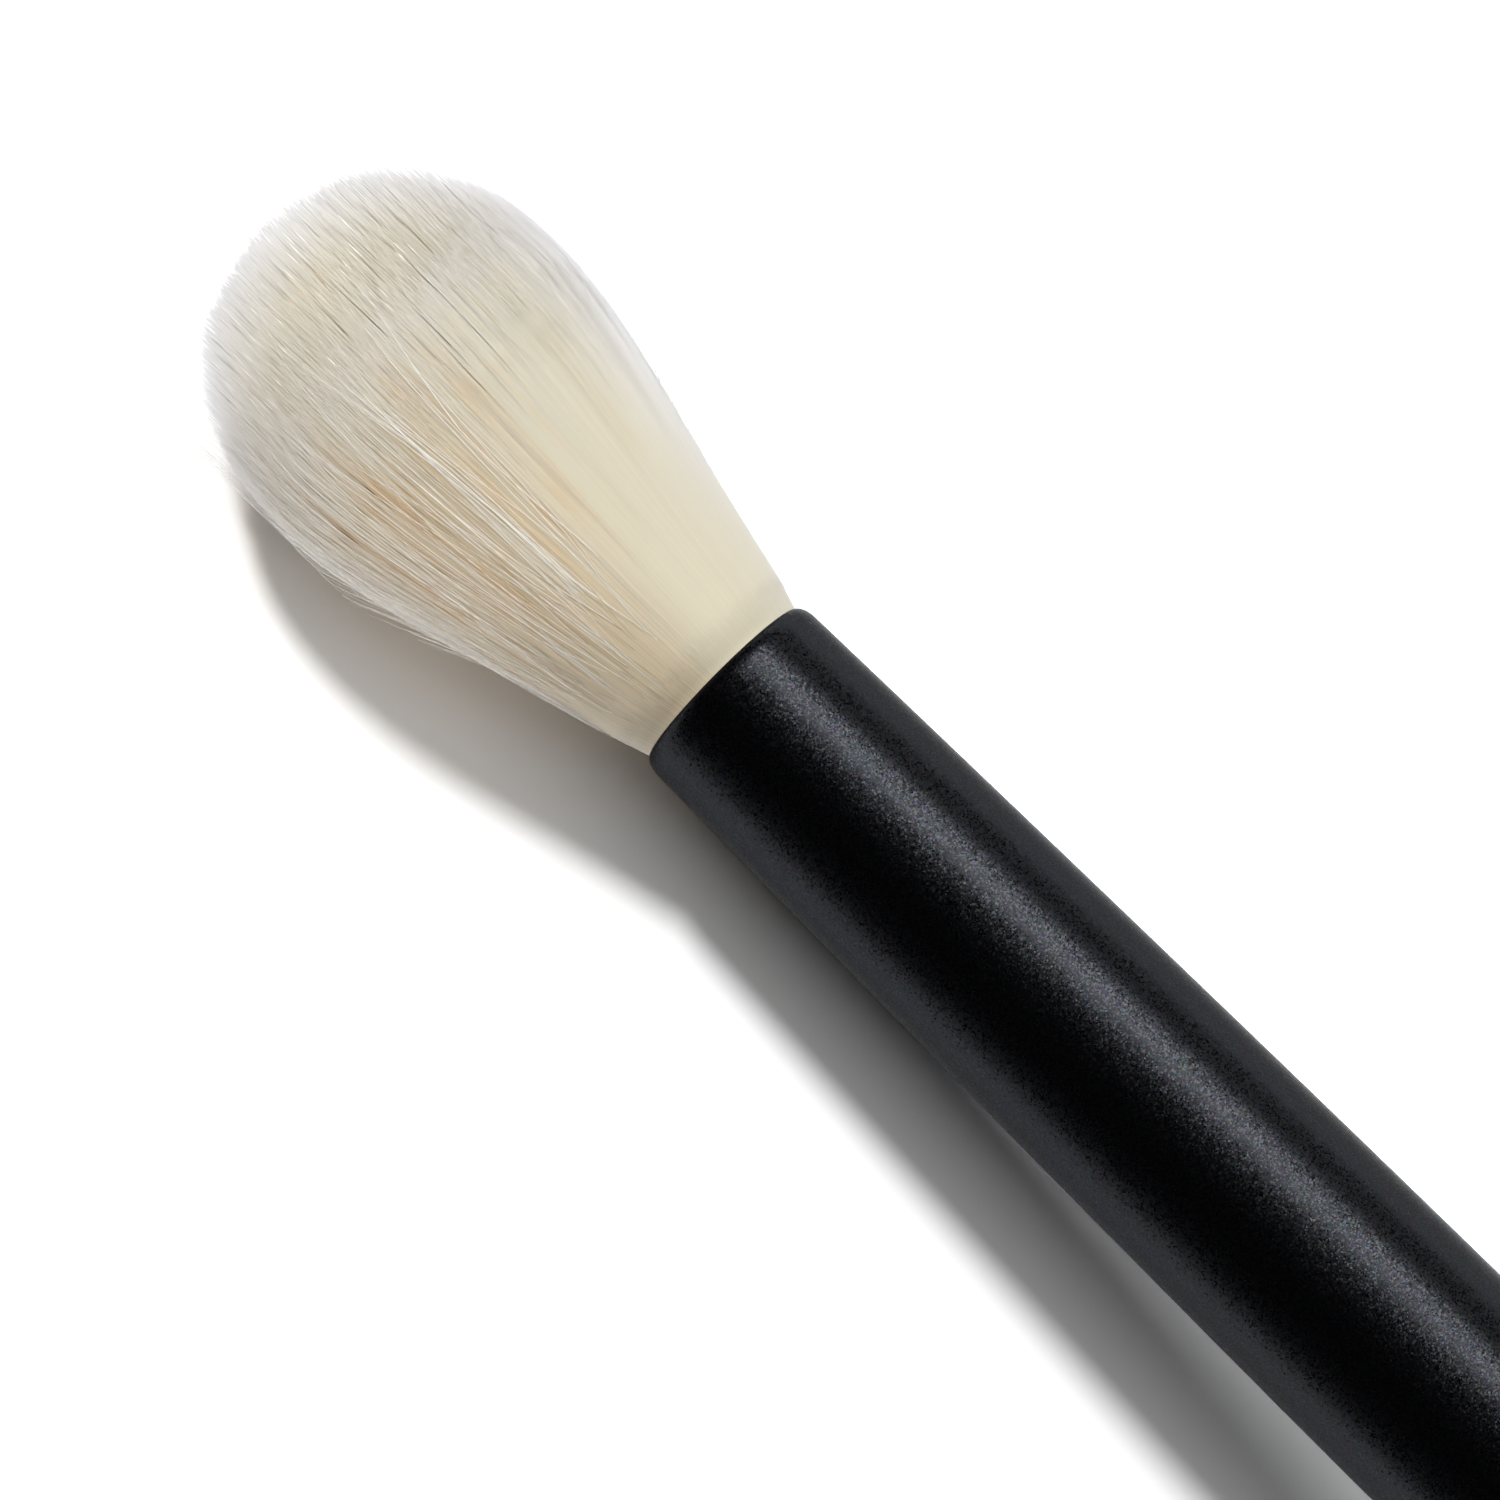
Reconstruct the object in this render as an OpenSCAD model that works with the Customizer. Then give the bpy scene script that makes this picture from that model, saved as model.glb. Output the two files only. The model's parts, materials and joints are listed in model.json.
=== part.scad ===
// Eyeshadow brush: a domed tuft of pale goat hair in a long tapered ferrule on a turned handle.
// The axis lies along X. The tuft points to -X and the butt of the handle to +X.
// The origin is on the axis, half way along the straight band at the back of the ferrule.

/* [Hair tuft] */
// Length of the hair in front of the mouth of the ferrule
hair_l = 24.3; // [20:0.1:30]
// Radius of the tuft at its belly
belly_r = 7.4; // [6:0.1:8]
// Distance from the mouth to the belly
belly_at = 16.6; // [13:0.1:17.5]
// Distance from the mouth to where the first flare of the hair eases
flare_at = 10.5; // [6:0.1:12]
// Radius of the tuft where the first flare eases
flare_r = 6.55; // [5:0.05:6.9]
// Roundness of the dome: 2 is an ellipse, more is blunter
dome_power = 2.15; // [2:0.05:3]
// Number of strands that stand for the hair
strands = 340; // [300:1:360]
// Radius of a strand at its root
strand_root_r = 0.12; // [0.08:0.01:0.12]
// Radius of a strand where it is thickest
strand_mid_r = 0.2; // [0.1:0.01:0.2]
// Radius of a strand at its tip
strand_tip_r = 0.08; // [0.05:0.01:0.1]

/* [Hair roots] */
// Depth of the glued roots below the mouth
root_sink = 0.6; // [0.3:0.1:1.2]
// Thickness of the slice of glued roots that carries the strands
slice_l = 2.4; // [1.5:0.1:4]
// Length of the plug of roots and glue behind the slice
plug_l = 11; // [9:0.5:14]
// Distance from the front of the plug to its binding
binding_at = 3; // [2:0.1:3.5]
// Diameter of the binding thread
thread_d = 0.5; // [0.3:0.05:0.6]
// Turns of the binding thread, side by side
thread_turns = 6; // [4:1:9]

/* [Ferrule] */
// Outer radius of the ferrule at its mouth
mouth_r = 4.17; // [3.9:0.01:4.3]
// Outer radius of the straight band at the back of the ferrule
band_r = 4.62; // [4.5:0.01:5]
// Length of the tapered front of the ferrule
taper_l = 38; // [34:0.5:44]
// Length of the straight band
band_l = 10; // [8:0.5:14]
// Thickness of the ferrule's wall
wall = 0.36; // [0.3:0.01:0.4]
// Length of the rounding on the outer edge of the mouth
lip_l = 0.75; // [0.4:0.05:1]
// How early the taper opens: 1 is a straight cone, more swells sooner
taper_power = 1.45; // [1:0.05:2.5]

/* [Handle] */
// Length of the handle behind the ferrule
handle_l = 98; // [80:1:120]
// Radius of the handle just before its rounded end
butt_r = 2.9; // [2.5:0.1:3.6]
// Length of the rounded end
butt_round_l = 3.6; // [2.5:0.1:5]
// Length of the tenon inside the ferrule
tenon_l = 18; // [14:0.5:20]
// Thickness of the adhesive round the tenon
adhesive_t = 0.14; // [0.1:0.01:0.2]
// Depth of the grooves that key the adhesive to the tenon
key_d = 0.25; // [0.15:0.05:0.4]
// Width of a key groove
key_w = 1.2; // [0.8:0.1:1.6]
// Number of key grooves
keys = 3; // [2:1:4]
// Bevel on the edges that meet at the joint
seam_bevel = 0.12; // [0.05:0.01:0.2]

/* [Fits] */
// Clearance between two pieces that are glued or fitted together
clearance = 0.03; // [0.02:0.01:0.05]

/* [Hidden] */
$fn = 96;

// Overrun of every cut and of every strand into the slice that holds it
overrun = 0.3;
// Steps of a long turned curve, and of a small round
curve_steps = 16;
round_steps = 8;
// Sides of a strand and of the slice of roots
strand_sides = 3;
slice_sides = 48;
// Turn from one strand to the next that spreads them evenly, as seeds lie in a sunflower
golden_turn = 180 * (3 - sqrt(5));
// Halvings of the search for a strand's end
search_steps = 24;

// Places along the axis
mouth_x = -(taper_l + band_l / 2);
seam_x = band_l / 2;
slice_x = mouth_x + root_sink;
plug_x = slice_x + slice_l + clearance;
plug_end_x = plug_x + plug_l;
tenon_x = seam_x - tenon_l;

// Radii inside the ferrule
bore_r = mouth_r - wall;
plug_r = bore_r - clearance;
strand_flow_r = plug_r - strand_root_r - clearance;
flare_flow_r = flare_r - strand_mid_r;
belly_flow_r = belly_r - strand_tip_r;
sleeve_r = band_r - wall - clearance;
tenon_r = sleeve_r - adhesive_t - clearance;

// Outer radius of the ferrule's taper at a distance behind the mouth
function taper_r(x) =
    mouth_r + (band_r - mouth_r) * (1 - pow(1 - x / taper_l, taper_power));

// Radius of the tuft's dome at a distance in front of the mouth
function dome_r(x) =
    belly_r * pow(max(0, 1 - pow(abs(x - belly_at) / (hair_l - belly_at), dome_power)), 1 / dome_power);

// Radius of the outermost hair in front of the flare, if it ran on without ending
function flow_r(x) =
    flare_flow_r + (belly_flow_r - flare_flow_r) * (x - flare_at) / (belly_at - flare_at);

// Distance from the mouth at which a hair meets the dome, found by halving the stretch that holds it
function strand_end(share, near, far, step) =
    let (mid = (near + far) / 2)
    step == 0 ? mid
    : share * flow_r(mid) < dome_r(mid) - strand_tip_r
        ? strand_end(share, mid, far, step - 1)
        : strand_end(share, near, mid, step - 1);

// Stations of a strand: distance in front of the mouth, radius of the flow, radius of the strand
function strand_stations(share) =
    let (end = strand_end(share, belly_at - wall, hair_l, search_steps))
    [
        [-root_sink - overrun, strand_flow_r, strand_root_r],
        [overrun, strand_flow_r, strand_root_r],
        [flare_at, flare_flow_r, strand_mid_r],
        [end, flow_r(end), strand_tip_r]
    ];

// Points of a strand, ring by ring from its root to its tip
function strand_points(share, turn) = [
    for (s = strand_stations(share), k = [0 : strand_sides - 1])
        let (a = turn + k * 360 / strand_sides)
        [
            mouth_x - s[0],
            share * s[1] * cos(turn) + s[2] * cos(a),
            share * s[1] * sin(turn) + s[2] * sin(a)
        ]
];

// Triangles of a strand: two to each side of each stretch, and a fan at either end
function strand_faces(rings) =
    let (n = strand_sides)
    [
        for (k = [1 : n - 2]) [0, k + 1, k],
        for (r = [0 : rings - 2], k = [0 : n - 1])
            let (a = r * n + k, b = r * n + (k + 1) % n)
            each [[a, b, a + n], [b, b + n, a + n]],
        for (k = [1 : n - 2]) [(rings - 1) * n, (rings - 1) * n + k, (rings - 1) * n + k + 1]
    ];

// A solid turned about the X axis from an outline of [place along X, radius]
module turned(outline) {
    rotate([0, 90, 0])
        rotate_extrude()
            polygon([for (p = outline) [p[1], p[0]]]);
}

// One hair of the tuft, with its own share of the tuft's radius and its own turn round the axis
module strand(share, turn) {
    points = strand_points(share, turn);
    polyhedron(points, strand_faces(len(points) / strand_sides));
}

// The hair: strands that fan out from a slice of glued roots and end on the dome.
// At any distance from the mouth the strands are one pattern drawn larger or smaller, so none cross.
module hair_tuft() {
    color("ivory")
        resize([root_sink + slice_l + hair_l, 0, 0])
            union() {
                translate([slice_x, 0, 0])
                    rotate([0, 90, 0])
                        cylinder(r = plug_r, h = slice_l, $fn = slice_sides);
                for (i = [0 : strands - 1])
                    strand(sqrt((i + 1 / 2) / strands), i * golden_turn);
            }
}

// The roots of the hair set in glue, with a waist that the binding thread draws in
module root_plug() {
    waist_r = plug_r - thread_d;
    waist_l = thread_turns * thread_d + clearance * 2;
    color("tan")
        turned([
            [plug_x, 0],
            [plug_x, plug_r],
            [plug_x + binding_at, plug_r],
            [plug_x + binding_at, waist_r],
            [plug_x + binding_at + waist_l, waist_r],
            [plug_x + binding_at + waist_l, plug_r],
            [plug_end_x - thread_d, plug_r],
            [plug_end_x, plug_r - thread_d],
            [plug_end_x, 0]
        ]);
}

// The thread that binds the roots: turns laid side by side, each rounded on the outside
module binding_thread() {
    inner_r = plug_r - thread_d + clearance;
    crown_r = thread_d / 2 - clearance;
    start_x = plug_x + binding_at + clearance;
    color("white")
        turned([
            [start_x, inner_r],
            for (i = [0 : thread_turns - 1], k = [0 : round_steps])
                let (a = 180 * k / round_steps)
                [
                    start_x + thread_d * (i + (1 - cos(a)) / 2),
                    inner_r + crown_r + crown_r * sin(a)
                ],
            [start_x + thread_turns * thread_d, inner_r]
        ]);
}

// The ferrule: a thin tube that swells from its rounded mouth to the straight band
module ferrule() {
    lip_h = taper_r(lip_l) - bore_r;
    taper = [for (k = [1 : curve_steps]) (taper_l - lip_l) * k / curve_steps + lip_l];
    color("black")
        turned([
            for (k = [0 : round_steps])
                let (a = 90 * k / round_steps)
                [mouth_x + lip_l * (1 - cos(a)), bore_r + lip_h * sin(a)],
            for (x = taper) [mouth_x + x, taper_r(x)],
            [seam_x - seam_bevel, band_r],
            [seam_x, band_r - seam_bevel],
            [seam_x, band_r - wall],
            [tenon_x - wall, band_r - wall],
            [tenon_x - wall, bore_r + (band_r - mouth_r) / 2],
            [plug_end_x, bore_r]
        ]);
}

// Places of the key grooves' middles along the tenon
key_places = [for (k = [1 : keys]) tenon_x + tenon_l * k / (keys + 1)];

// Outline of the tenon's side, from its front to the shoulder, standing off the wood by a gap
function keyed_side(gap) = [
    for (x = key_places) each [
        [x - key_w / 2 + gap, tenon_r + gap],
        [x - key_w / 4 + gap, tenon_r + gap - key_d],
        [x + key_w / 4 - gap, tenon_r + gap - key_d],
        [x + key_w / 2 - gap, tenon_r + gap]
    ]
];

// The adhesive that holds the handle: a thin sleeve with a ring in each key groove
module tenon_adhesive() {
    color("khaki")
        turned(concat(
            [
                [tenon_x + seam_bevel, sleeve_r],
                [tenon_x + seam_bevel, tenon_r + clearance]
            ],
            keyed_side(clearance),
            [
                [seam_x - seam_bevel, tenon_r + clearance],
                [seam_x - seam_bevel, sleeve_r]
            ]
        ));
}

// The handle: one turned piece of wood, a keyed tenon in front and a long taper to a rounded butt
module handle() {
    run_l = handle_l - butt_round_l;
    start_r = band_r - clearance;
    color("black")
        turned(concat(
            [
                [tenon_x, 0],
                [tenon_x, tenon_r - key_d],
                [tenon_x + key_d, tenon_r]
            ],
            keyed_side(0),
            [
                [seam_x + clearance, tenon_r],
                [seam_x + clearance, start_r - seam_bevel]
            ],
            [
                for (k = [0 : curve_steps])
                    let (s = k / curve_steps)
                    [
                        seam_x + clearance + seam_bevel + (run_l - clearance - seam_bevel) * s,
                        start_r + (butt_r - start_r) * pow(sin(90 * s), 2)
                    ]
            ],
            [
                for (k = [1 : round_steps])
                    let (a = 90 * k / round_steps)
                    [seam_x + run_l + butt_round_l * sin(a), butt_r * cos(a)]
            ]
        ));
}

hair_tuft();
root_plug();
binding_thread();
ferrule();
tenon_adhesive();
handle();
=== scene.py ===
"""Eyeshadow brush: goat hair, matt black ferrule and handle, on a white table in studio light."""

import json
import math

import bpy
import numpy as np
from mathutils import Matrix, Vector

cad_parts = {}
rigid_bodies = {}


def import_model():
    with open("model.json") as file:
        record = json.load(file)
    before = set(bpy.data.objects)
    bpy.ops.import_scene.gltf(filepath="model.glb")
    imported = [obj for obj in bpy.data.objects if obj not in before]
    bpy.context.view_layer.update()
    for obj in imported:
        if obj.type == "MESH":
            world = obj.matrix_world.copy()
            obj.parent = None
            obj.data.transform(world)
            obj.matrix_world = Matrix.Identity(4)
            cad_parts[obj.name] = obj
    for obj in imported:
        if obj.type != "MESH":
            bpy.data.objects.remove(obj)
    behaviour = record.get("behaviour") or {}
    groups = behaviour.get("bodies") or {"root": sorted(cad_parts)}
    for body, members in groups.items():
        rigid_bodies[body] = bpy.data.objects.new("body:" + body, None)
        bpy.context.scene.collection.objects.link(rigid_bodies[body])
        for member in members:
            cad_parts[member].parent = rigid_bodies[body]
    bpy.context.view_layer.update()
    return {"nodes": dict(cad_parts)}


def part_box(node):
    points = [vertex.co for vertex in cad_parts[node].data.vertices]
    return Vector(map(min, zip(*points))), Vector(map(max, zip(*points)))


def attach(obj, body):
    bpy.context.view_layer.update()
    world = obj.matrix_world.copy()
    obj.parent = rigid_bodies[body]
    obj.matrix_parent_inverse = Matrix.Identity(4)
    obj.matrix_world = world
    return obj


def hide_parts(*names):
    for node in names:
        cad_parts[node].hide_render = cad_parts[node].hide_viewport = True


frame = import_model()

MM = 0.001


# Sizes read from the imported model, in metres

ferrule_low, ferrule_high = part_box("ferrule")
mouth_x = ferrule_low.x
seam_x = ferrule_high.x
band_r = ferrule_high.y
butt_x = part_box("handle")[1].x
hair_l = mouth_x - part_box("hair_tuft")[0].x

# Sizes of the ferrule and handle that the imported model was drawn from
taper_l = 38 * MM
mouth_r = 4.17 * MM
taper_power = 1.45
wall = 0.36 * MM
bore_r = mouth_r - wall
lip_l = 0.75 * MM
seam_bevel = 0.12 * MM
seam_gap = 0.03 * MM
butt_r = 2.9 * MM
butt_round_l = 3.6 * MM
tenon_l = 18 * MM
tenon_r = band_r - wall * 1.6

# Sizes of the tuft
belly_r = 7.42 * MM
belly_at = 16.6 * MM
dome_power = 2.15
widest_r = 7.72 * MM


# Small helpers

def make_active(obj):
    """Selects one object alone and makes it the active one."""
    for other in bpy.context.view_layer.objects:
        other.select_set(False)
    obj.select_set(True)
    bpy.context.view_layer.objects.active = obj


def linear(hex_colour):
    """An sRGB hex colour as the linear colour that the shaders take."""
    parts = [int(hex_colour[i : i + 2], 16) / 255 for i in (1, 3, 5)]
    return [c / 12.92 if c <= 0.04045 else ((c + 0.055) / 1.055) ** 2.4 for c in parts] + [1]


def smoothstep(low, high, value):
    """A soft step from 0 at the low value to 1 at the high one."""
    t = np.clip((value - low) / (high - low), 0, 1)
    return t * t * (3 - 2 * t)


def at_least(least, share):
    """A share from 0 to 1, squeezed into the stretch from the least value to 1."""
    return least + (1 - least) * share


def unit(vectors):
    return vectors / np.linalg.norm(vectors, axis=-1, keepdims=True)


# Materials

def new_material(name):
    material = bpy.data.materials.new(name)
    material.use_nodes = True
    tree = material.node_tree
    return material, tree, tree.nodes["Principled BSDF"]


def add_node(tree, kind, links=(), **settings):
    """Adds a node. Settings are its properties, or its inputs by name or number."""
    node = tree.nodes.new(kind)
    for key, value in settings.items():
        if key == "inputs":
            for name, given in value.items():
                node.inputs[name].default_value = given
        else:
            setattr(node, key, value)
    for name, source in links:
        tree.links.new(source, node.inputs[name])
    return node


def pattern_scale(size_mm):
    """Scale of a pattern in object coordinates whose cells have a real size."""
    return 1000 / size_mm


def hair_material():
    """Undyed goat hair, combed and set: cream shafts with painted warm shade in the depth, and
    white at the fine tips. Light passes through the hairs, so the shade between them stays pale and
    warm."""
    through_share = 0.5
    shadow_passed_share = 0.9
    material, tree, shader = new_material("goat_hair_undyed")
    cream, warm, white = linear("#D4CEBA"), linear("#CEAC7D"), linear("#E6E5E2")
    tone = add_node(tree, "ShaderNodeAttribute", attribute_name="tone")
    parts = add_node(tree, "ShaderNodeSeparateColor", [("Color", tone.outputs["Color"])])
    shaft = add_node(
        tree, "ShaderNodeMix", [("Factor", parts.outputs["Blue"])],
        data_type="RGBA", inputs={6: cream, 7: warm},
    )
    tips = add_node(
        tree, "ShaderNodeMapRange", [("Value", parts.outputs["Green"])],
        inputs={"From Min": 0.72, "From Max": 1.0},
    )
    whole = add_node(
        tree, "ShaderNodeMix", [("Factor", tips.outputs[0]), (6, shaft.outputs[2])],
        data_type="RGBA", inputs={7: white},
    )
    shade = add_node(
        tree, "ShaderNodeMapRange", [("Value", parts.outputs["Red"])],
        inputs={"From Min": -4, "From Max": 4, "To Min": 0.35, "To Max": 1.35},
    )
    varied = add_node(
        tree, "ShaderNodeVectorMath", [(0, whole.outputs[2]), ("Scale", shade.outputs[0])],
        operation="SCALE",
    )
    tree.links.new(varied.outputs[0], shader.inputs["Base Color"])
    shader.inputs["Roughness"].default_value = 0.5
    shader.inputs["IOR"].default_value = 1.45
    shader.inputs["Specular IOR Level"].default_value = 0.3
    shader.inputs["Sheen Weight"].default_value = 0.5
    through = add_node(tree, "ShaderNodeBsdfTranslucent", [("Color", varied.outputs[0])])
    both = add_node(
        tree, "ShaderNodeMixShader", [(1, shader.outputs[0]), (2, through.outputs[0])],
        inputs={0: through_share},
    )
    # Sheen: at a grazing view the many fine ends, seen one behind the other, are a neutral white,
    # in place of the white backdrop seen through them. Its strength is painted per place in the
    # tone's alpha: less where shade falls.
    nap = add_node(tree, "ShaderNodeBsdfDiffuse", inputs={"Color": linear("#AEAEB1")})
    grazing = add_node(tree, "ShaderNodeLayerWeight", inputs={"Blend": 0.5})
    sheen = add_node(
        tree, "ShaderNodeMapRange",
        [("Value", grazing.outputs["Facing"]), ("To Max", tone.outputs["Alpha"])],
        inputs={"From Min": 0.22, "From Max": 0.85},
    )
    soft = add_node(
        tree, "ShaderNodeMixShader",
        [(0, sheen.outputs[0]), (1, both.outputs[0]), (2, nap.outputs[0])],
    )
    # Most of the light goes on through a hair, so one hair hardly shades the next
    path = add_node(tree, "ShaderNodeLightPath")
    passed = add_node(
        tree, "ShaderNodeBsdfTransparent", inputs={"Color": linear("#F7F4F1")},
    )
    lets_by = add_node(
        tree, "ShaderNodeMath", [(0, path.outputs["Is Shadow Ray"])],
        operation="MULTIPLY", inputs={1: shadow_passed_share},
    )
    thin = add_node(
        tree, "ShaderNodeMixShader",
        [(0, lets_by.outputs[0]), (1, soft.outputs[0]), (2, passed.outputs[0])],
    )
    output = next(node for node in tree.nodes if node.type == "OUTPUT_MATERIAL")
    tree.links.new(thin.outputs[0], output.inputs["Surface"])
    return material


def coat_material(name, colour):
    """Matt black coat: each fleck of its grain faces a little apart, so a streak of light breaks
    into sparkle."""
    # Sizes of the flecks, the grain that shows in a close view, and of the finer flecks of its hue
    fleck_mm = 0.06
    hue_fleck_mm = fleck_mm * 0.8
    material, tree, shader = new_material(name)
    where = add_node(tree, "ShaderNodeTexCoord")
    flecks = add_node(
        tree, "ShaderNodeTexVoronoi", [("Vector", where.outputs["Object"])],
        inputs={"Scale": pattern_scale(fleck_mm)},
    )
    centred = add_node(
        tree, "ShaderNodeVectorMath", [(0, flecks.outputs["Color"])],
        operation="SUBTRACT", inputs={1: (0.5, 0.5, 0.5)},
    )
    # Some flecks lie nearly flat, the others are turned more and more
    chance = add_node(tree, "ShaderNodeSeparateColor", [("Color", flecks.outputs["Color"])])
    turn = add_node(
        tree, "ShaderNodeMapRange", [("Value", chance.outputs["Green"])],
        inputs={"From Min": 0.2, "To Min": 0.06, "To Max": 0.34},
    )
    tilt = add_node(
        tree, "ShaderNodeVectorMath", [(0, centred.outputs[0]), ("Scale", turn.outputs[0])],
        operation="SCALE",
    )
    geometry = add_node(tree, "ShaderNodeNewGeometry")
    facing = add_node(
        tree, "ShaderNodeVectorMath", [(0, geometry.outputs["Normal"]), (1, tilt.outputs[0])],
        operation="ADD",
    )
    normal = add_node(
        tree, "ShaderNodeVectorMath", [(0, facing.outputs[0])], operation="NORMALIZE",
    )
    tree.links.new(normal.outputs[0], shader.inputs["Normal"])
    # Flecks differ in how much they reflect and a little in hue
    second = add_node(
        tree, "ShaderNodeTexVoronoi", [("Vector", where.outputs["Object"])],
        inputs={"Scale": pattern_scale(hue_fleck_mm)},
    )
    hue = add_node(
        tree, "ShaderNodeVectorMath", [(0, second.outputs["Color"])],
        operation="MULTIPLY_ADD", inputs={1: (0.5, 0.5, 0.5), 2: (0.75, 0.75, 0.75)},
    )
    tinted = add_node(
        tree, "ShaderNodeVectorMath", [(0, hue.outputs[0])],
        operation="MULTIPLY", inputs={1: linear(colour)[:3]},
    )
    gain = add_node(
        tree, "ShaderNodeMapRange", [("Value", chance.outputs["Red"])],
        inputs={"To Min": 0.92, "To Max": 1.08},
    )
    grained = add_node(
        tree, "ShaderNodeVectorMath", [(0, tinted.outputs[0]), ("Scale", gain.outputs[0])],
        operation="SCALE",
    )
    tree.links.new(grained.outputs[0], shader.inputs["Base Color"])
    shader.inputs["Metallic"].default_value = 1
    shader.inputs["Specular Tint"].default_value = (0.5, 0.5, 0.5, 1)
    # Half of the flecks are dull, the others more and more like small mirrors
    dull = add_node(
        tree, "ShaderNodeMapRange", [("Value", chance.outputs["Blue"])],
        inputs={"From Min": 0.5, "To Min": 0.4, "To Max": 0.16},
    )
    tree.links.new(dull.outputs[0], shader.inputs["Roughness"])
    return material


def inner_material(name, colour, roughness, grain_mm):
    """A hidden inner piece: its colour with a fine uneven grain."""
    material, tree, shader = new_material(name)
    where = add_node(tree, "ShaderNodeTexCoord")
    grain = add_node(
        tree, "ShaderNodeTexNoise", [("Vector", where.outputs["Object"])],
        inputs={"Scale": pattern_scale(grain_mm), "Detail": 2},
    )
    shade = add_node(
        tree, "ShaderNodeMapRange", [("Value", grain.outputs[0])],
        inputs={"To Min": 0.8, "To Max": 1.1},
    )
    tinted = add_node(
        tree, "ShaderNodeVectorMath", [("Scale", shade.outputs[0])],
        operation="SCALE", inputs={0: linear(colour)[:3]},
    )
    tree.links.new(tinted.outputs[0], shader.inputs["Base Color"])
    shader.inputs["Roughness"].default_value = roughness
    return material


goat_hair = hair_material()
ferrule_coat = coat_material("anodised_aluminium_matt_black", "#27282B")
handle_coat = coat_material("beech_matt_black_lacquer", "#27282B")
root_glue = inner_material("epoxy_set_hair_roots", "#C6A878", roughness=0.35, grain_mm=0.3)
thread_wax = inner_material("waxed_binding_thread", "#DCD9CE", roughness=0.6, grain_mm=0.15)
clear_glue = inner_material("epoxy_film", "#CDBF93", roughness=0.2, grain_mm=0.5)


# Camera

photo_px = 1500
mouth_px = (723, 683)
camera_azimuth = math.radians(44.97)
camera_elevation = math.radians(81.55)
camera_distance = 256 * MM
px_per_mm = 219 / 8.2
sensor_mm = 36


def add_camera():
    a, e = camera_azimuth, camera_elevation
    back = Vector((math.sin(a) * math.cos(e), -math.cos(a) * math.cos(e), math.sin(e)))
    right = Vector((math.cos(a), math.sin(a), 0))
    up = back.cross(right)
    middle = photo_px / 2
    aside = (middle - mouth_px[0]) / px_per_mm * MM
    below = (middle - mouth_px[1]) / px_per_mm * MM
    target = Vector((mouth_x, 0, 0)) + right * aside - up * below
    data = bpy.data.cameras.new("camera")
    data.sensor_width = sensor_mm
    data.lens = px_per_mm * camera_distance / MM * sensor_mm / photo_px
    data.clip_start = 10 * MM
    camera = bpy.data.objects.new("camera", data)
    turn = Matrix((right, up, back)).transposed().to_4x4()
    camera.matrix_world = Matrix.Translation(target + back * camera_distance) @ turn
    bpy.context.scene.collection.objects.link(camera)
    bpy.context.scene.camera = camera


# Ferrule and handle

def turned(name, outline, steps=192):
    """A turned piece: an outline of (place along X, radius) spun about the axis in edit mode."""
    mesh = bpy.data.meshes.new(name)
    edges = [(i, i + 1) for i in range(len(outline) - 1)]
    mesh.from_pydata([(x, 0, r) for x, r in outline], edges, [])
    obj = bpy.data.objects.new(name, mesh)
    bpy.context.scene.collection.objects.link(obj)
    make_active(obj)
    bpy.ops.object.mode_set(mode="EDIT")
    bpy.ops.mesh.select_all(action="SELECT")
    bpy.ops.mesh.spin(steps=steps, angle=math.tau, center=(0, 0, 0), axis=(1, 0, 0))
    bpy.ops.mesh.select_all(action="SELECT")
    bpy.ops.mesh.remove_doubles(threshold=0.001 * MM)
    bpy.ops.mesh.normals_make_consistent(inside=False)
    bpy.ops.object.mode_set(mode="OBJECT")
    bpy.ops.object.shade_smooth_by_angle(angle=math.radians(35))
    return obj


def taper_radius(x):
    """Outer radius of the ferrule at a distance behind its mouth."""
    s = min(1, max(0, x / taper_l))
    return mouth_r + (band_r - mouth_r) * (1 - (1 - s) ** taper_power)


def make_ferrule(lip_steps=12, taper_steps=24):
    """The tube: rounded lip, taper, straight band, bevelled end and the bore inside."""
    outline = []
    for k in range(lip_steps + 1):
        a = math.pi / 2 * k / lip_steps
        x = mouth_x + lip_l * (1 - math.cos(a))
        outline.append((x, taper_radius(lip_l) - wall * (1 - math.sin(a))))
    for k in range(1, taper_steps + 1):
        x = lip_l + (taper_l - lip_l) * k / taper_steps
        outline.append((mouth_x + x, taper_radius(x)))
    step_x = seam_x - tenon_l - wall
    outline += [
        (seam_x - seam_bevel, band_r),
        (seam_x, band_r - seam_bevel),
        (seam_x, band_r - wall),
        (step_x, band_r - wall),
        (step_x, bore_r + (band_r - mouth_r) / 2),
        (mouth_x + wall, bore_r),
        outline[0],
    ]
    return turned("ferrule_shell", outline)


def make_handle(run_steps=32, round_steps=16):
    """The handle: plain tenon, long taper to the butt and rounded end."""
    run_l = butt_x - butt_round_l - seam_x
    start_r = band_r - seam_gap
    start_x = seam_x + seam_gap
    tenon_x = seam_x - tenon_l
    outline = [
        (tenon_x, 0),
        (tenon_x, tenon_r),
        (start_x, tenon_r),
        (start_x, start_r - seam_bevel),
    ]
    for k in range(run_steps + 1):
        s = k / run_steps
        x = start_x + seam_bevel + (run_l - seam_gap - seam_bevel) * s
        outline.append((x, start_r + (butt_r - start_r) * math.sin(s * math.pi / 2) ** 2))
    for k in range(1, round_steps + 1):
        a = math.pi / 2 * k / round_steps
        outline.append((seam_x + run_l + butt_round_l * math.sin(a), butt_r * math.cos(a)))
    return turned("handle_body", outline)


# Form of the tuft

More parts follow.
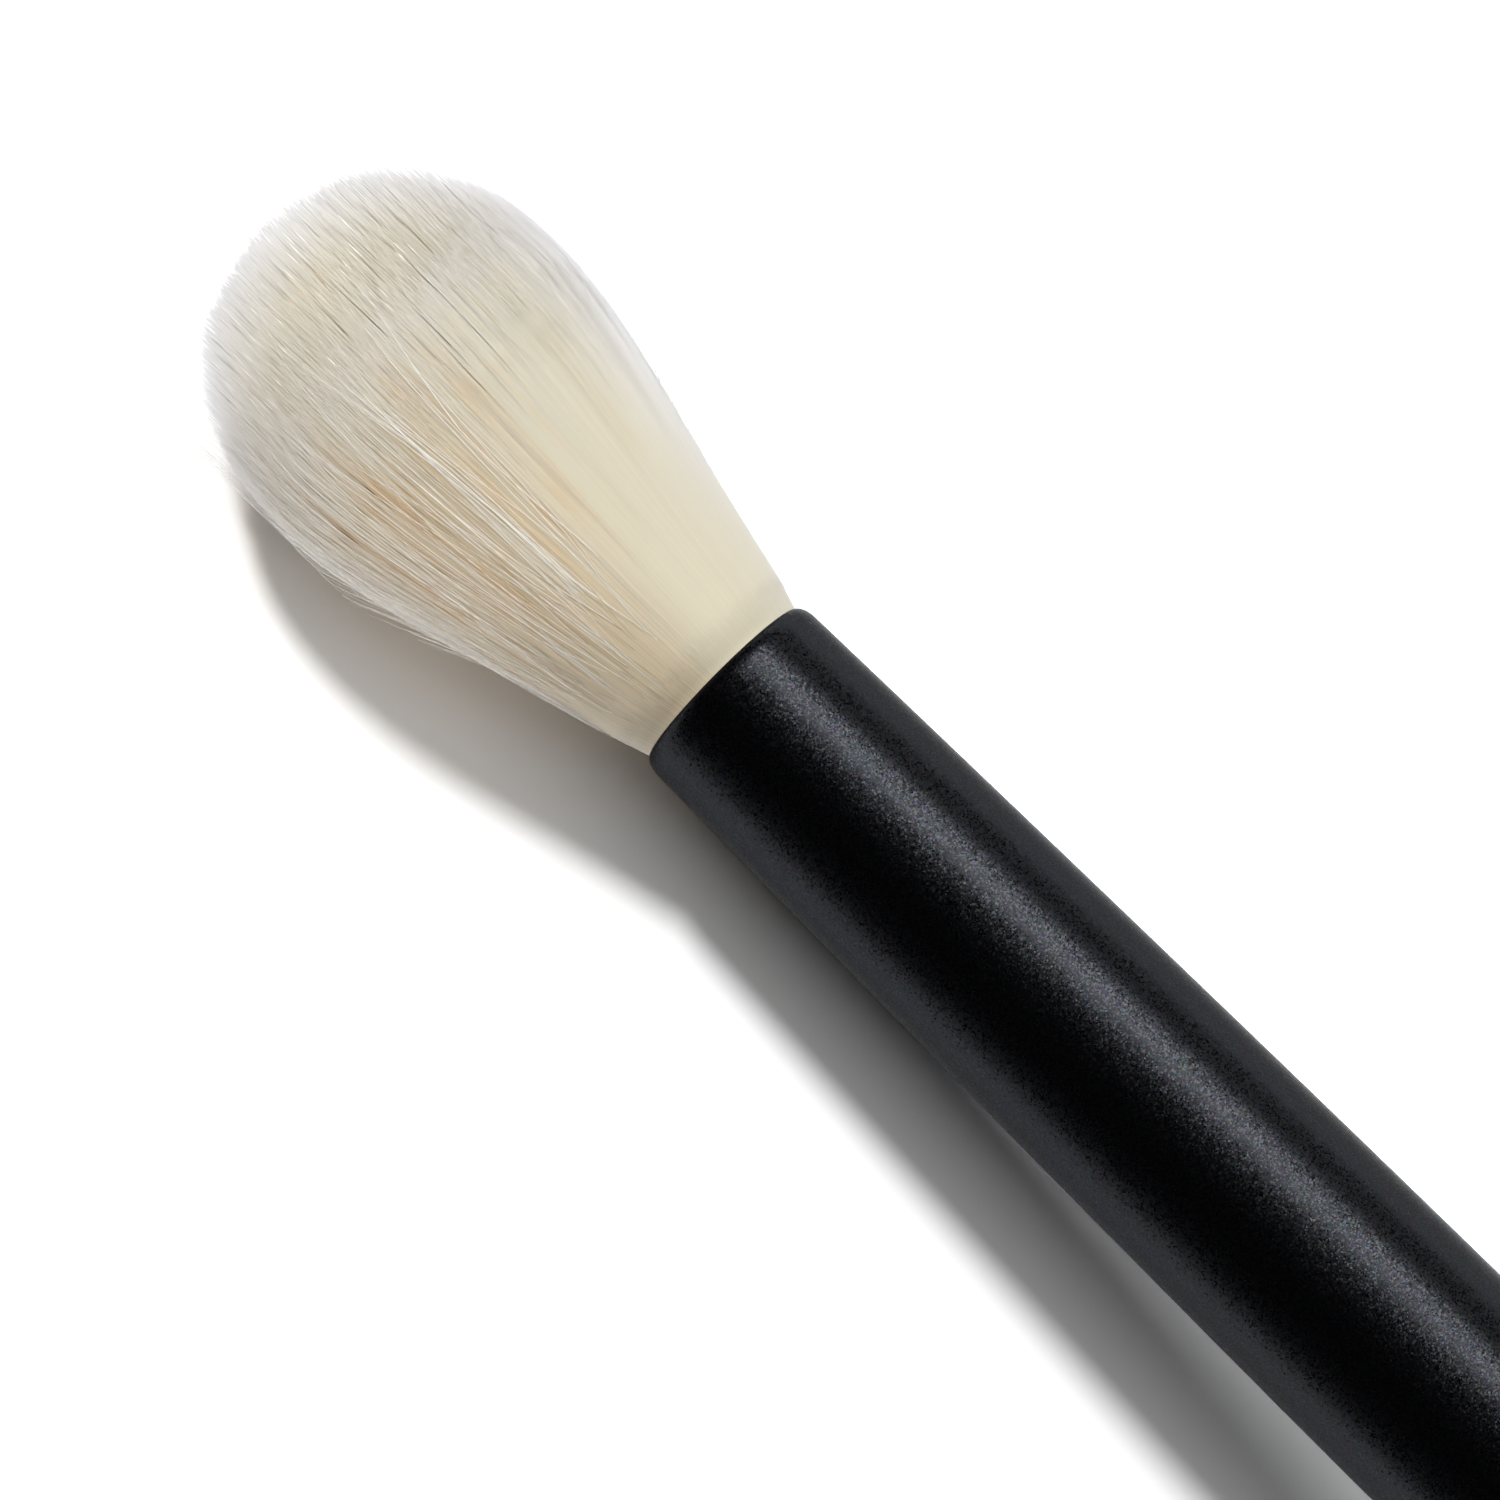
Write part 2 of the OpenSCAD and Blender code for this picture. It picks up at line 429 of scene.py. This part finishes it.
# Radius of the outermost hair at distances in front of the mouth, in mm
flare_points = [
    (0, 4.02), (0.75, 4.15), (2.25, 4.44), (3.75, 4.85), (5.2, 5.26), (6.7, 5.62), (8.2, 5.97),
    (9.7, 6.32), (11.2, 6.72), (12.7, 7.1), (14.2, 7.32), (16.6, 7.42),
]
flare_curve = np.polyfit([p[0] for p in flare_points], [p[1] for p in flare_points], deg=4)
# Slope of the hair past the belly, if it ran on without ending
flare_slope = 0.02
# The hair springs out over the lip, over this depth and length in mm
spring, spring_l = 0.3, 0.35


def flow_radius(x):
    """Radius of the outermost hair at a distance in front of the mouth, run on past the belly."""
    x_mm = x / MM
    end_mm = belly_at / MM
    inside = np.polyval(flare_curve, np.clip(x_mm, 0, end_mm))
    inside = inside - spring * np.exp(-np.clip(x_mm, 0, end_mm) / spring_l)
    return (inside + np.maximum(0, x_mm - end_mm) * flare_slope) * MM


def dome_radius(x):
    """Radius of the dome at a distance in front of the mouth."""
    t = np.clip((x - belly_at) / (hair_l - belly_at), 0, 1)
    return belly_r * (1 - t**dome_power) ** (1 / dome_power)


def hair_ends(share, halvings=24):
    """Distance from the mouth at which each hair meets the dome, by halving."""
    near = np.full(len(share), belly_at)
    far = np.full(len(share), hair_l)
    for _ in range(halvings):
        middle = (near + far) / 2
        inside = share * flow_radius(middle) < dome_radius(middle)
        near = np.where(inside, middle, near)
        far = np.where(inside, far, middle)
    return near


def outward(paths):
    """Directions in which the surface of the whole tuft faces at points in or on it."""
    # The smallest radius and share of the radius, so that nothing is divided by zero on the axis
    least_r = 0.01 * MM
    least_share = 0.02
    step = 0.1 * MM
    x = mouth_x - paths[..., 0]
    radius = np.hypot(paths[..., 1], paths[..., 2]) + least_r
    flare = (flow_radius(x + step) - flow_radius(x - step)) / (2 * step)
    u = np.clip((x - belly_at) / (hair_l - belly_at), 0, 1)
    v = np.clip(radius / belly_r, least_share, 1)
    tipward = u ** (dome_power - 1) / (hair_l - belly_at)
    sideways = v ** (dome_power - 1) / belly_r
    size = np.hypot(tipward, sideways)
    forward = np.where(x < belly_at, -flare, tipward / size)
    aside = np.where(x < belly_at, 1, sideways / size)
    facing = np.stack([
        -forward, aside * paths[..., 1] / radius, aside * paths[..., 2] / radius,
    ], axis=-1)
    return unit(facing)


def unruliness(angle, least=0.1):
    """How far the hair strays at an angle from the top: much on the -Y side, little on the +Y."""
    # The sine of the angle is 1 on the +Y side and -1 on the -Y side
    calm_at, unruly_at = 0.28, -0.45
    return at_least(least, smoothstep(calm_at, unruly_at, np.sin(angle)))


# Paths, widths and meshes of hairs

def place_hairs(x, share, angle, lift, aside):
    """Points of hairs, ring by ring: on the flow at a share of its radius, lifted off it and moved
    aside, but never outside the widest radius."""
    radius = np.maximum(share * flow_radius(x) + lift, 0)
    y = radius * np.sin(angle) + aside * np.cos(angle)
    z = radius * np.cos(angle) - aside * np.sin(angle)
    within = np.minimum(1, widest_r / np.maximum(np.hypot(y, z), MM))
    return np.stack([mouth_x - x, y * within, z * within], axis=-1)


def combed_hairs(rng, share, angle, start, end, t, sink=0):
    """Hairs that follow the flow, with points at shares t of their length, each with a slight bend
    of its own. They may start below the flow, in mm."""
    bend_mm, bend_turn = 0.16, 4
    drift_mm, drift_power = 0.3, 1.5
    lift_mm = 0.03
    count = len(share)
    x = start[:, None] + (end - start)[:, None] * t
    along = np.clip(x / hair_l, 0, 1)
    mess = at_least(0.2, unruliness(angle))[:, None]
    grow = smoothstep(0, 0.7, along)
    phase = rng.uniform(0, math.tau, (count, 1))
    bend = rng.normal(0, bend_mm, (count, 1)) * np.sin(along * bend_turn + phase)
    drift = rng.normal(0, drift_mm, (count, 1)) * along**drift_power
    lift = rng.normal(0, lift_mm, (count, 1)) * grow
    below = sink * (1 - smoothstep(0, 0.6, t))
    return place_hairs(
        x, share[:, None], angle[:, None],
        lift=(lift * mess - below) * MM,
        aside=(bend + drift) * grow * mess * MM,
    )


def hair_widths(rng, count, t, thick_mm, thinner, thins_from):
    """Widths of hairs along their length: each has its own, and thins to its tip by a share."""
    thick = rng.uniform(*thick_mm, count)[:, None] * MM
    return thick * (1 - thinner * smoothstep(thins_from, 1, t))


def hair_mesh(name, paths, widths, tones, lean, flat=0.35):
    """Joins hairs into one mesh: a flat three-sided tube along each path, closed at both ends.
    It lies with its ridge outwards. Its normals lean towards those of the whole tuft, as light that
    wanders through hair evens them out."""
    count, rings = paths.shape[:2]
    tuft_normal = outward(paths)
    along = unit(np.gradient(paths, axis=1))
    rise = unit(tuft_normal - (tuft_normal * along).sum(-1, keepdims=True) * along)
    aside = np.cross(along, rise)
    corner = np.radians([-30, 90, 210])[None, None, :, None]
    around = np.cos(corner) * aside[:, :, None, :] + flat * np.sin(corner) * rise[:, :, None, :]
    co = paths[:, :, None, :] + widths[:, :, None, None] * around
    base = (np.arange(count) * rings * 3)[:, None, None]
    ring = (np.arange(rings - 1) * 3)[None, :, None]
    side = np.arange(3)[None, None, :]
    a = base + ring + side
    b = base + ring + (side + 1) % 3
    quads = np.stack([a, a + 3, b + 3, b], axis=-1).reshape(-1, 4)
    first = base[:, 0, 0]
    last = first + (rings - 1) * 3
    caps = np.concatenate([
        np.stack([first, first + 1, first + 2], axis=-1),
        np.stack([last, last + 2, last + 1], axis=-1),
    ])
    mesh = bpy.data.meshes.new(name)
    mesh.vertices.add(co.size // 3)
    mesh.vertices.foreach_set("co", co.reshape(-1).astype(np.float32))
    corners = np.concatenate([quads.reshape(-1), caps.reshape(-1)]).astype(np.int32)
    mesh.loops.add(len(corners))
    mesh.loops.foreach_set("vertex_index", corners)
    sizes = np.concatenate([np.full(len(quads), 4), np.full(len(caps), 3)])
    starts = np.concatenate([[0], np.cumsum(sizes)[:-1]]).astype(np.int32)
    mesh.polygons.add(len(sizes))
    mesh.polygons.foreach_set("loop_start", starts)
    mesh.update(calc_edges=True)
    mesh.validate()
    mesh.polygons.foreach_set("use_smooth", np.ones(len(sizes), bool))
    lean = np.reshape(lean, (-1, 1, 1, 1))
    facing = unit((1 - lean) * unit(around) + lean * tuft_normal[:, :, None, :])
    mesh.normals_split_custom_set_from_vertices(facing.reshape(-1, 3))
    colours = np.zeros((count, rings, 3, 4), np.float32)
    colours[:, :, :, :3] = tones[:, :, None, :]
    # Alpha: the painted strength of the sheen
    colours[:, :, :, 3] = painted_sheen_share(paths)[:, :, None]
    layer = mesh.attributes.new("tone", "FLOAT_COLOR", "POINT")
    layer.data.foreach_set("color", colours.reshape(-1))
    obj = bpy.data.objects.new(name, mesh)
    bpy.context.scene.collection.objects.link(obj)
    return obj


# Tones of hairs

# Waves round the tuft: how many, where each starts and how it shifts along the hair
streak_waves = [
    (5, 0.4, 0.6), (9, 2.1, -0.8), (14, 4.0, 1.2), (22, 1.3, -1.6), (34, 5.2, 2.0), (55, 3.1, -2.4),
]
# Weaker waves that wind round the tuft: how many, where each starts and its turn in each mm
winding_waves = [(7, 0, 1), (-11, 1.3, 1.5)]
winding_strength = 0.6


def streaks(angle, x, strength=0.6):
    """How warm the locks are at places round and along the tuft: most on the -Y side."""
    total = sum(
        np.sin(n * angle + start + shift * x / hair_l) for n, start, shift in streak_waves
    )
    for n, start, turn in winding_waves:
        total = total + winding_strength * np.sin(start + n * angle + turn * x / MM)
    here = smoothstep(2 * MM, 9 * MM, x) * (1 - smoothstep(15 * MM, 21 * MM, x))
    return strength * smoothstep(0.2, 2.8, total) * here * at_least(0.15, unruliness(angle))


def painted_sheen_share(paths):
    """How far fine ends whiten the tuft at a grazing view: little at the root and on the -Y
    side. It is painted sheen, weaker where shade lies behind, under the lip and on the -Y side."""
    root_share, further_share = 0.2, 0.65
    shaded_side_sheen_loss = 0.6
    x = mouth_x - paths[..., 0]
    angle = np.arctan2(paths[..., 1], paths[..., 2])
    dome = smoothstep(16 * MM, 21 * MM, x)
    side = 1 - shaded_side_sheen_loss * unruliness(angle) * (1 - dome)
    return (root_share + further_share * smoothstep(2 * MM, 12 * MM, x)) * side


def hair_tones(light, along, deep, paths):
    """Red: how light the hair is, less so in the dome, with painted shade at the root of the -Y
    side under the lip and on the lit +Y side, and painted light at the rim of the -Y side. Green:
    the place along it, with 1 for a white tip. Blue: how warm it is."""
    # Painted shade at the root under the lip and on the lit +Y side; painted light at the -Y rim
    root_painted_shade, dome_loss, lit_side_painted_shade = 1.5, 1.2, 0.4
    rim_painted_light = 1.2
    x = mouth_x - paths[..., 0]
    shape = x.shape
    angle = np.arctan2(paths[..., 1], paths[..., 2])
    mess = unruliness(angle)
    rim = smoothstep(0.35, 0.95, -np.sin(angle)) * smoothstep(3 * MM, 9 * MM, x)
    root = 1 - smoothstep(-MM, 9 * MM, x)
    dome = smoothstep(12 * MM, 20 * MM, x)
    return np.stack([
        np.reshape(light, (shape[0], -1)) - root_painted_shade * mess * root - dome_loss * dome
        + (rim_painted_light * rim - lit_side_painted_shade * (1 - mess)) * (1 - dome),
        np.broadcast_to(along, shape),
        np.clip(deep, 0, 1),
    ], axis=-1)


# The hairs

def make_side_hair(rng, name, count=2600, rings=13):
    """Long hairs that show from the mouth to the belly, most of them near the surface."""
    start_mm = -0.5
    depth, least_share = 0.012, 0.6
    short_mm, short_share = (0, 5), 0.25
    ring_power = 1.2
    # A hair under the surface is painted warmer, from this share of the radius on, and so is the
    # shaded -Y side: painted warm shade, as light goes warm in passing through hair
    surface, depth_painted_warmth, shaded_side_painted_warmth = 0.97, 3, 0.36
    warmth_range, light_range, darker = 0.15, 0.6, 0.1
    angle = rng.uniform(-math.pi, math.pi, count)
    mess = unruliness(angle)
    share = np.clip(1 - np.abs(rng.normal(0, depth, count)), least_share, 1)
    end = hair_ends(share)
    end = end - rng.uniform(*short_mm, count) * MM * (rng.uniform(0, 1, count) < short_share)
    t = np.linspace(0, 1, rings)[None, :] ** ring_power
    paths = combed_hairs(rng, share, angle, np.full(count, start_mm * MM), end, t)
    widths = hair_widths(rng, count, t, thick_mm=(0.026, 0.04), thinner=0.75, thins_from=0.6)
    x = mouth_x - paths[..., 0]
    vary = at_least(0.2, mess)
    own = (surface - share) * depth_painted_warmth
    own = own + rng.uniform(-warmth_range, warmth_range, count) * vary + shaded_side_painted_warmth * mess
    light = rng.uniform(-light_range, light_range, count) * vary - darker
    tones = hair_tones(light, 0.9 * t, own[:, None] + streaks(angle[:, None], x), paths)
    return hair_mesh(name, paths, widths, tones, lean=0.98 - 0.04 * mess)


def make_dome_hair(rng, name, count=4500, rings=8):
    """Hair ends that make the velvet of the dome. A few have a painted glint at the tip."""
    rim_depth, rim_share = 0.05, 0.45
    long_mm, longest_mm, long_share = 0.08, 0.3, 0.5
    # The shoulder of the dome is a little fuller: by how much, and where and how wide it is
    shoulder_mm, shoulder_at, shoulder_width = 0.25, 0.65, 0.2
    beyond_mm, beyond_spread_mm = 0.28, 0.06
    hair_mm = (4.5, 7)
    ring_power = 1.8
    streak_share = 0.5
    tip_light = 0.5
    # A few tips get a painted glint: how many, and how much lighter
    painted_glint_share, painted_glint_gain = 0.012, 9
    share = np.sqrt(rng.uniform(0, 1, count))
    rim = 1 - np.abs(rng.normal(0, rim_depth, count))
    share = np.where(rng.uniform(0, 1, count) < rim_share, rim, share)
    angle = rng.uniform(-math.pi, math.pi, count)
    is_long = rng.uniform(0, 1, count) < long_share
    far = np.where(is_long, rng.exponential(long_mm, count).clip(0, longest_mm), 0)
    shoulder = shoulder_mm * np.exp(-((share - shoulder_at) / shoulder_width) ** 2)
    beyond = rng.normal(beyond_mm, beyond_spread_mm, count)
    end = hair_ends(share) + (beyond + far + shoulder) * MM
    start = end - rng.uniform(*hair_mm, count) * MM
    t = 1 - (1 - np.linspace(0, 1, rings)[None, :]) ** ring_power
    paths = combed_hairs(rng, share, angle, start, end, t, sink=0.35)
    widths = hair_widths(rng, count, t, thick_mm=(0.022, 0.034), thinner=0.9, thins_from=0.8)
    x = mouth_x - paths[..., 0]
    deep = rng.uniform(-0.05, 0.12, count)[:, None] + streak_share * streaks(angle[:, None], x)
    light = rng.uniform(-0.35, 0.15, count)[:, None] + tip_light * smoothstep(0.9, 1, t)
    painted_glint = rng.uniform(0, 1, count)[:, None] < painted_glint_share
    light = light + painted_glint_gain * painted_glint * smoothstep(0.93, 0.99, t)
    # Only a hair with a painted glint reaches the full white of a tip
    place = 0.45 + 0.38 * t + 0.2 * painted_glint
    tones = hair_tones(light, place, deep, paths)
    return hair_mesh(name, paths, widths, tones, lean=0.96)


def make_loose_hair(rng, name, locks=150, each=2, rings=20):
    """Fine strands that lie over the combed hair of the -Y side and cross one another: most are
    light, some are dark and warm."""
    tries = 4 * locks
    skew_mm = 2.4
    spread_mm, own_mm, own_turn = 0.3, 0.1, 9
    # They come out of the combed hair from this depth
    root_depth_mm = 0.15
    flow_share, dome_share = 0.995, 0.985
    dark_share, dark_loss, dark_place, dark_warmth = 0.3, 1.2, 0.3, 0.6
    lock_angle = rng.uniform(-math.pi, math.pi, tries)
    keep = rng.uniform(0, 1, tries) < unruliness(lock_angle) ** 3
    lock_angle = lock_angle[keep][:locks]
    count = len(lock_angle) * each
    mine = np.repeat(np.arange(len(lock_angle)), each)

    def per_lock(low, high):
        return rng.uniform(low, high, len(lock_angle))[mine][:, None]

    def per_hair(low, high):
        return rng.uniform(low, high, (count, 1))

    start = per_lock(-0.5, 5.5) * MM + per_hair(0, 2) * MM
    end = per_lock(13, 22) * MM + per_hair(-3, 1) * MM
    t = np.linspace(0, 1, rings)[None, :]
    x = start + (end - start) * t
    along = np.clip(x / hair_l, 0, 1)
    wave = per_lock(0.05, 0.35) * np.sin(along * per_lock(4, 9) + per_lock(0, math.tau))
    skew = per_lock(-1, 1) * along * skew_mm
    spread = rng.normal(0, spread_mm, (count, 1))
    spread = spread * at_least(0.3, np.abs(np.sin(along * per_lock(2, 5) + per_lock(0, 3))))
    own = rng.normal(0, own_mm, (count, 1)) * np.sin(along * own_turn + per_hair(0, math.tau))
    aside = (wave + skew + spread + own) * smoothstep(0, 0.3, along) * MM
    lift = (per_hair(0.02, 0.12) + per_lock(0, 0.1)) * smoothstep(0, 0.15, t) * MM
    lift = lift - root_depth_mm * MM * (1 - smoothstep(0, 0.1, t))
    # They follow the flow as far as the belly, and lie just under the dome from there on
    on_dome = dome_share * dome_radius(x) / flow_radius(x)
    share = np.where(x > belly_at, np.minimum(flow_share, on_dome), flow_share)
    paths = place_hairs(x, share, lock_angle[mine][:, None], lift, aside)
    widths = hair_widths(rng, count, t, thick_mm=(0.01, 0.02), thinner=0.75, thins_from=0.6)
    is_dark = per_hair(0, 1) < dark_share
    dark = is_dark * (1 - smoothstep(11 * MM, 15 * MM, mouth_x - paths[..., 0]))
    light = (1 - dark) * per_hair(-0.4, 1.6) - dark_loss * dark
    place = (1 - dark) * (0.88 + 0.12 * t) + dark_place * dark
    tones = hair_tones(light, place, dark_warmth * dark, paths)
    return hair_mesh(name, paths, widths, tones, lean=0.9)


def make_stray_hair(rng, name, wild=380, tame=40, rings=16):
    """Single hairs that stand off the outline. Most are on the -Y side and end in the air; some on
    the +Y side bow out and come back to the tuft."""
    # Where they stand, as the middle and spread of an angle from the top
    wild_angle, tame_angle = (-1.55, 0.25), (1.6, 0.2)
    wild_start_mm, tame_start_mm = (2, 13), (4, 9)
    off_mm, least_off_mm, most_off_mm = 0.22, 0.05, 0.8
    rise_power, bow_share = 1.6, 1.3
    aside_mm = 0.5
    thick_mm, thinner = (0.02, 0.034), 0.6
    share, light, warmth = 0.99, 0.5, 0.1
    count = wild + tame
    angle = np.append(rng.normal(*wild_angle, wild), rng.normal(*tame_angle, tame))
    start = np.append(rng.uniform(*wild_start_mm, wild), rng.uniform(*tame_start_mm, tame))
    start = start[:, None] * MM
    end = start + rng.uniform(4, 9, (count, 1)) * MM
    t = np.linspace(0, 1, rings)[None, :]
    x = start + (end - start) * t
    off = np.minimum(rng.exponential(off_mm, (count, 1)) + least_off_mm, most_off_mm)
    bow = np.sin(t * rng.uniform(1.9, 2.9, (count, 1)))
    rising = np.arange(count)[:, None] < wild
    lift = off * np.where(rising, t**rise_power, bow_share * bow) * MM
    aside = rng.normal(0, aside_mm, (count, 1)) * t**2 * MM
    paths = place_hairs(x, share, angle[:, None], lift, aside)
    widths = rng.uniform(*thick_mm, count)[:, None] * MM * (1 - thinner * t)
    tones = hair_tones(np.full(count, light), 0.5 + 0.4 * t, np.full(x.shape, warmth), paths)
    return hair_mesh(name, paths, widths, tones, lean=0.8)


def make_hair(seed=7):
    rng = np.random.default_rng(seed)
    pieces = [make_side_hair(rng, f"hair_side_{i}") for i in range(1, 5)]
    pieces += [make_dome_hair(rng, f"hair_dome_{i}") for i in range(1, 5)]
    pieces.append(make_loose_hair(rng, "hair_loose"))
    pieces.append(make_stray_hair(rng, "hair_stray"))
    return pieces


def make_core(steps_along=40):
    """The body of hair under the surface, which closes the view between the hairs."""
    core_share, core_l, mouth_share = 0.94, hair_l * 0.95, 0.96
    under_dome, nose_l = 0.035 * hair_l, 0.3 * MM
    # The core has the tone of deep hair: painted warm shade, a little darker than the surface
    deep_painted_shade_tone = (0.6, 0.4, 0.3, 0.5)
    outline = [(mouth_x + wall, 0), (mouth_x + wall, bore_r * mouth_share)]
    for k in range(steps_along + 1):
        x = core_l * k / steps_along
        outer = min(flow_radius(np.array(x)), dome_radius(np.array(x + under_dome)))
        outline.append((mouth_x - x, core_share * float(outer)))
    outline.append((mouth_x - core_l - nose_l, 0))
    core = turned("hair_core", outline, steps=96)
    tone = core.data.attributes.new("tone", "FLOAT_COLOR", "POINT")
    for item in tone.data:
        item.color = deep_painted_shade_tone
    return core


# Table and light

def add_table():
    """A sheet of uncoated white paper, quite matt. The tuft is pressed a little into it and the
    handle rises over it, as the shadow shows."""
    slope = 0.1
    below_axis = 7 * MM
    bpy.ops.mesh.primitive_plane_add(
        size=4, location=(mouth_x, 0, -below_axis), rotation=(0, math.atan(slope), 0),
    )
    table = bpy.context.object
    table.name = "table"
    material, tree, shader = new_material("white_paper_sweep")
    shader.inputs["Base Color"].default_value = linear("#F7F7F7")
    shader.inputs["Roughness"].default_value = 0.9
    shader.inputs["Specular IOR Level"].default_value = 0.1
    table.data.materials.append(material)


def add_area_light(name, towards, distance, size, watts, aim):
    """A flat lamp at a distance from the point that it aims at, in the direction given."""
    data = bpy.data.lights.new(name, "AREA")
    data.shape = "RECTANGLE"
    data.size, data.size_y = size
    data.energy = watts
    light = bpy.data.objects.new(name, data)
    direction = Vector(towards).normalized()
    light.location = Vector(aim) + direction * distance
    light.rotation_euler = direction.to_track_quat("Z", "Y").to_euler()
    bpy.context.scene.collection.objects.link(light)
    return light


def add_lights():
    mouth = (mouth_x, 0, 0)
    middle_of_tuft = (mouth_x - belly_at / 2, 0, 0)
    middle_of_shadow = (mouth_x - 11.5 * MM, 0, 0)
    # Key: small and far, from beyond the tip and a little to the +Y side
    key = bpy.data.lights.new("key", "SUN")
    key.energy = 3.2
    key.angle = math.radians(7)
    sun = bpy.data.objects.new("key", key)
    sun.rotation_euler = Vector((-0.57, 0.35, 1)).to_track_quat("Z", "Y").to_euler()
    bpy.context.scene.collection.objects.link(sun)
    # A wide soft box overhead fills the shadow from its outer edge and leaves it dark at the brush
    box = add_area_light(
        "soft_box", towards=(0, 0.18, 1), distance=0.9, size=(1.2, 0.5), watts=3.4, aim=mouth,
    )
    # A strip of light on the +Y side draws the streak along the ferrule
    add_area_light(
        "strip", towards=(-0.12, 0.86, 1), distance=0.9, size=(0.55, 0.36), watts=5.9, aim=mouth,
    )
    # A white card on the -Y side evens out the light on the tuft, as light inside it would
    card = add_area_light(
        "side_card", towards=(-0.6, -1, 0.35), distance=0.5, size=(0.7, 0.2), watts=4,
        aim=middle_of_tuft,
    )
    tuft = bpy.data.collections.new("tuft")
    floor = bpy.data.collections.new("floor")
    for piece in bpy.context.scene.objects:
        if piece.name.startswith("hair_"):
            tuft.objects.link(piece)
    floor.objects.link(bpy.data.objects["table"])
    card.light_linking.receiver_collection = tuft
    # Light that has wandered through the tuft leaves it below, warmed, and brightens its shadow
    through = add_area_light(
        "through_tuft", towards=(0, 0, -1), distance=3 * MM, size=(10 * MM, 8 * MM), watts=0.0004,
        aim=middle_of_shadow,
    )
    # It shines down
    through.rotation_euler = (0, 0, 0)
    through.data.color = linear("#FFE9D2")[:3]
    through.light_linking.receiver_collection = floor
    through.light_linking.blocker_collection = floor
    # These are screened from the coat, in which only the strip shows
    for lamp in (sun, box):
        lamp.visible_glossy = False
    world = bpy.data.worlds.new("studio")
    world.use_nodes = True
    background = world.node_tree.nodes["Background"]
    background.inputs["Color"].default_value = (1, 1, 1, 1)
    background.inputs["Strength"].default_value = 0.03
    bpy.context.scene.world = world


# Putting the brush together

def dress(obj, material, replaced):
    """Gives a new piece its material and its body, and hides the node that it stands for."""
    obj.data.materials.clear()
    obj.data.materials.append(material)
    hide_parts(replaced)
    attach(obj, "root")


add_camera()
dress(make_ferrule(), ferrule_coat, "ferrule")
dress(make_handle(), handle_coat, "handle")
dress(make_core(), goat_hair, "hair_tuft")
for piece in make_hair():
    dress(piece, goat_hair, "hair_tuft")

for node, material in [
    ("root_plug", root_glue),
    ("binding_thread", thread_wax),
    ("tenon_adhesive", clear_glue),
]:
    cad = frame["nodes"][node]
    for i in range(len(cad.data.materials)):
        cad.data.materials[i] = material

add_table()
add_lights()
bpy.context.scene.view_settings.view_transform = "Standard"
